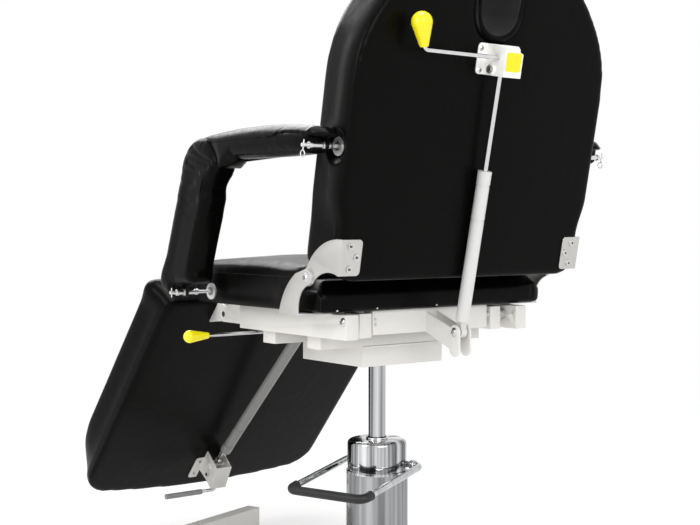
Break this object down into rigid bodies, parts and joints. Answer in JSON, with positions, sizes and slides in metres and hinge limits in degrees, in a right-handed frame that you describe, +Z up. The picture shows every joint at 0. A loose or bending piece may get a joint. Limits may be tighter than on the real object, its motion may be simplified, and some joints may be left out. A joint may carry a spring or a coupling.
{
  "type": "podiatry chair",
  "caption": "Podiatry treatment chair on a hydraulic column, with a reclining backrest with a face hole, linked armrests, a tilting seat and a swinging legrest.",
  "frame": {"origin": "on the floor, under the middle of the whole chair's box", "axes": "+Z up; the sitter faces -Y and the sitter's left is +X; X is across the chair"},
  "size_m": [0.8174, 1.2043, 1.3277],
  "materials": {
    "white_paint": "satin powder coat",
    "upholstery": "black coated fabric over foam, soft sheen",
    "board": "covered in the same black coated fabric",
    "lining": "black coated fabric, soft sheen",
    "chrome": "polished",
    "rods": "polished",
    "brushed_steel": "brushed",
    "bolts": "zinc plated",
    "spring_grey": "satin grey paint",
    "yellow_plastic": "gloss",
    "rubber": "matte",
    "plastic_caps": "matte",
    "grip_grey": "matte"
  },
  "bodies": {
    "base": {"base_front_beam": "white_paint", "base_rear_beam": "white_paint", "base_spine": "white_paint", "pump_bolts": "bolts", "beam_end_caps": "plastic_caps", "base_feet": "rubber", "pump_cover": "chrome", "pump_cap": "chrome", "pump_cylinder": "bolts"},
    "pedal": {"pedal_shaft": "chrome", "pedal_arms": "chrome", "pedal_sleeve": "rubber"},
    "piston": {"piston": "chrome"},
    "subframe": {"column_box": "white_paint", "cross_tubes": "white_paint", "inner_rails": "white_paint", "tilt_pivots": "bolts"},
    "tilt_lever": {"tilt_lever_rod": "chrome", "tilt_lever_knob": "yellow_plastic"},
    "tilt_spring_body": {"tilt_spring_body": "spring_grey"},
    "tilt_spring_rod": {"tilt_spring_rod": "chrome"},
    "seat_frame": {"outer_rails": "white_paint", "legrest_yokes": "white_paint", "front_crossbar": "white_paint", "rear_crossbar": "white_paint", "clevis_pin": "bolts", "seat_frame_bolts": "bolts", "seat_board": "board", "seat_cushion": "upholstery", "seat_rods": "rods", "hinge_claws": "brushed_steel", "hinge_bolts": "bolts"},
    "backrest": {"backrest_board": "board", "backrest_cushion": "upholstery", "face_hole_lining": "lining", "backrest_screws": "bolts", "upper_hinge_brackets": "brushed_steel", "back_rods": "rods", "release_bracket": "white_paint"},
    "back_lever": {"back_lever_rod": "chrome", "back_lever_knob": "yellow_plastic"},
    "back_spring_body": {"back_spring_body": "spring_grey"},
    "back_spring_rod": {"back_spring_rod": "chrome"},
    "post_left": {"post_pad_left": "upholstery", "post_core_left": "white_paint"},
    "post_right": {"post_pad_right": "upholstery", "post_core_right": "white_paint"},
    "arm_left": {"arm_pad_left": "upholstery", "arm_core_left": "white_paint"},
    "arm_right": {"arm_pad_right": "upholstery", "arm_core_right": "white_paint"},
    "legrest": {"legrest_board": "board", "legrest_cushion": "upholstery", "legrest_ears": "white_paint", "legrest_bracket": "white_paint", "legrest_screws": "bolts"},
    "leg_spring_rod": {"leg_spring_rod": "chrome"},
    "leg_spring_body": {"leg_spring_body": "spring_grey"},
    "leg_lever": {"legrest_lever": "bolts", "legrest_lever_grip": "grip_grey"}
  },
  "joints": [
    {"name": "lift", "type": "slide", "parent": "base", "child": "piston", "axis": [0, 0, 1], "range_m": [-0.08, 0.07]},
    {"name": "swivel", "type": "hinge", "parent": "piston", "child": "subframe", "pos_m": [-0.0197, 0.1924, 0.555], "axis": [0, 0, 1], "continuous": true},
    {"name": "seat_tilt", "type": "hinge", "parent": "subframe", "child": "seat_frame", "pos_m": [-0.0197, 0.3574, 0.585], "axis": [-1, 0, 0], "range_deg": [0, 12]},
    {"name": "recline", "type": "hinge", "parent": "seat_frame", "child": "backrest", "pos_m": [-0.0197, 0.3754, 0.675], "axis": [-1, 0, 0], "range_deg": [0, 68]},
    {"name": "back_spring_swing", "type": "hinge", "parent": "seat_frame", "child": "back_spring_body", "pos_m": [-0.0197, 0.4514, 0.564], "axis": [-1, 0, 0], "range_deg": [0, 63]},
    {"name": "back_spring_stroke", "type": "slide", "parent": "back_spring_body", "child": "back_spring_rod", "axis": [0, 0.2125, 0.9772], "range_m": [-0.148, 0]},
    {"name": "legrest_swing", "type": "hinge", "parent": "seat_frame", "child": "legrest", "pos_m": [-0.0197, -0.0856, 0.576], "axis": [-1, 0, 0], "range_deg": [0, 49.2]},
    {"name": "leg_spring_swing", "type": "hinge", "parent": "legrest", "child": "leg_spring_rod", "pos_m": [-0.0197, -0.45386, 0.16467], "axis": [1, 0, 0], "range_deg": [0, 0.8]},
    {"name": "leg_spring_stroke", "type": "slide", "parent": "leg_spring_rod", "child": "leg_spring_body", "axis": [0, 0.7162, 0.6979], "range_m": [0, 0.033]},
    {"name": "tilt_spring_swing", "type": "hinge", "parent": "subframe", "child": "tilt_spring_body", "pos_m": [-0.0197, 0.2224, 0.551], "axis": [-1, 0, 0], "range_deg": [0, 19]},
    {"name": "tilt_spring_stroke", "type": "slide", "parent": "tilt_spring_body", "child": "tilt_spring_rod", "axis": [0, -0.984, 0.1781], "range_m": [0, 0.016]},
    {"name": "back_release", "type": "hinge", "parent": "backrest", "child": "back_lever", "pos_m": [-0.0197, 0.57541, 1.08028], "axis": [1, 0, 0], "range_deg": [-18, 18], "stiffness_Nm_per_rad": 3},
    {"name": "legrest_release", "type": "hinge", "parent": "legrest", "child": "leg_lever", "pos_m": [-0.0197, -0.46066, 0.14148], "axis": [-1, 0, 0], "range_deg": [0, 15], "stiffness_Nm_per_rad": 4, "springref_deg": -2.86},
    {"name": "tilt_release", "type": "slide", "parent": "subframe", "child": "tilt_lever", "axis": [1, 0, 0], "range_m": [0, 0.008], "stiffness_N_per_m": 600},
    {"name": "pedal_press", "type": "hinge", "parent": "base", "child": "pedal", "pos_m": [-0.0509, 0.18166, 0.266], "axis": [-0.3256, 0.9455, 0], "range_deg": [0, 25], "stiffness_Nm_per_rad": 4, "springref_deg": -40.11},
    {"name": "post_left_swing", "type": "hinge", "parent": "seat_frame", "child": "post_left", "pos_m": [0.3303, 0.0039, 0.633], "axis": [-1, 0, 0], "range_deg": [0, 68]},
    {"name": "arm_left_level", "type": "hinge", "parent": "post_left", "child": "arm_left", "pos_m": [0.3303, 0.09636, 0.87022], "axis": [-1, 0, 0], "range_deg": [-68, 0]},
    {"name": "post_right_swing", "type": "hinge", "parent": "seat_frame", "child": "post_right", "pos_m": [-0.3697, 0.0039, 0.633], "axis": [-1, 0, 0], "range_deg": [0, 68]},
    {"name": "arm_right_level", "type": "hinge", "parent": "post_right", "child": "arm_right", "pos_m": [-0.3697, 0.09636, 0.87022], "axis": [-1, 0, 0], "range_deg": [-68, 0]}
  ],
  "couplings": [
    {"joint": "back_spring_swing", "follows": "recline", "ratio": 0.92},
    {"joint": "back_spring_stroke", "follows": "recline", "m_per_rad": -0.12376},
    {"joint": "leg_spring_swing", "follows": "legrest_swing", "ratio": 0.014},
    {"joint": "leg_spring_stroke", "follows": "legrest_swing", "m_per_rad": 0.03724},
    {"joint": "tilt_spring_swing", "follows": "seat_tilt", "ratio": 1.531},
    {"joint": "tilt_spring_stroke", "follows": "seat_tilt", "m_per_rad": 0.07304},
    {"joint": "post_left_swing", "follows": "recline", "ratio": 1},
    {"joint": "arm_left_level", "follows": "recline", "ratio": -1},
    {"joint": "post_right_swing", "follows": "recline", "ratio": 1},
    {"joint": "arm_right_level", "follows": "recline", "ratio": -1}
  ]
}
